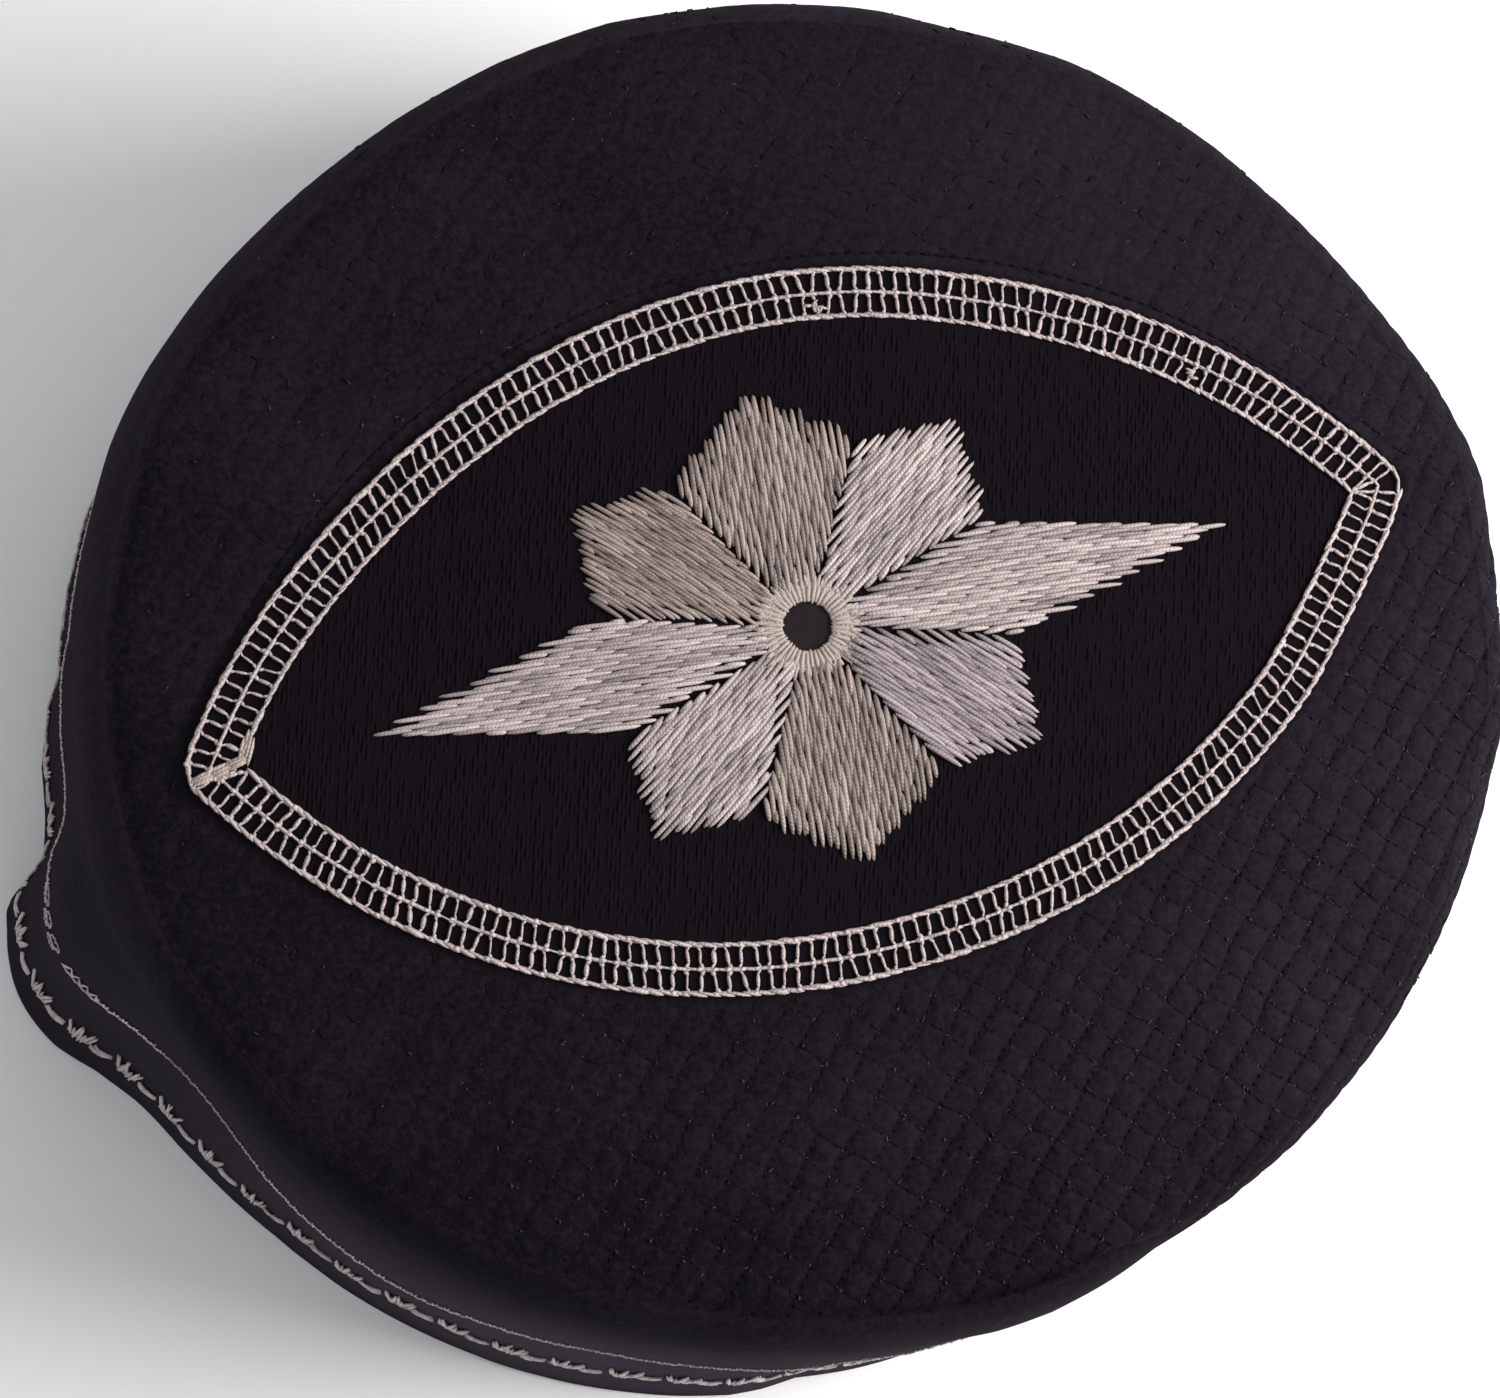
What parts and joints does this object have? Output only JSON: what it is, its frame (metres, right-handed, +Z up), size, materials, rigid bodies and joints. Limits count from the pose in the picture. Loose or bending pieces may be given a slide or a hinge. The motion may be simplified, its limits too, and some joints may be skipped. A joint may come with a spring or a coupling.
{
  "type": "kufi",
  "caption": "Stiff black kufi with a quilted, slightly domed crown, a flared side band and an embroidered star inside a lens-shaped ladder border.",
  "frame": {"origin": "on the floor under the middle of the rim's outline, at the base of the hat", "axes": "+X along the embroidered lens, which is also near the long way of the hat; +Z up, from the rim to the crown"},
  "size_m": [0.2088, 0.1834, 0.0929],
  "materials": {
    "quilted_cloth": "matt black cotton cloth, quilted in small squares, with a soft sheen",
    "band_cloth": "smooth matt black cloth over a stiff band, with a soft sheen at grazing angles",
    "border_thread": "pale pinkish grey embroidery thread, slightly glossy",
    "star_thread": "warm grey embroidery thread in long fill stitches, slightly glossy",
    "ring_thread": "cream grey satin stitch, slightly glossy"
  },
  "bodies": {
    "root": {"side_band": "band_cloth", "crown": "quilted_cloth", "lens_border": "border_thread", "star_ring": "ring_thread", "star_petal_right": "star_thread", "star_petal_upper_right": "star_thread", "star_petal_top": "star_thread", "star_petal_upper_left": "star_thread", "star_petal_left": "star_thread", "star_petal_lower_left": "star_thread", "star_petal_bottom": "star_thread", "star_petal_lower_right": "star_thread"}
  },
  "joints": []
}
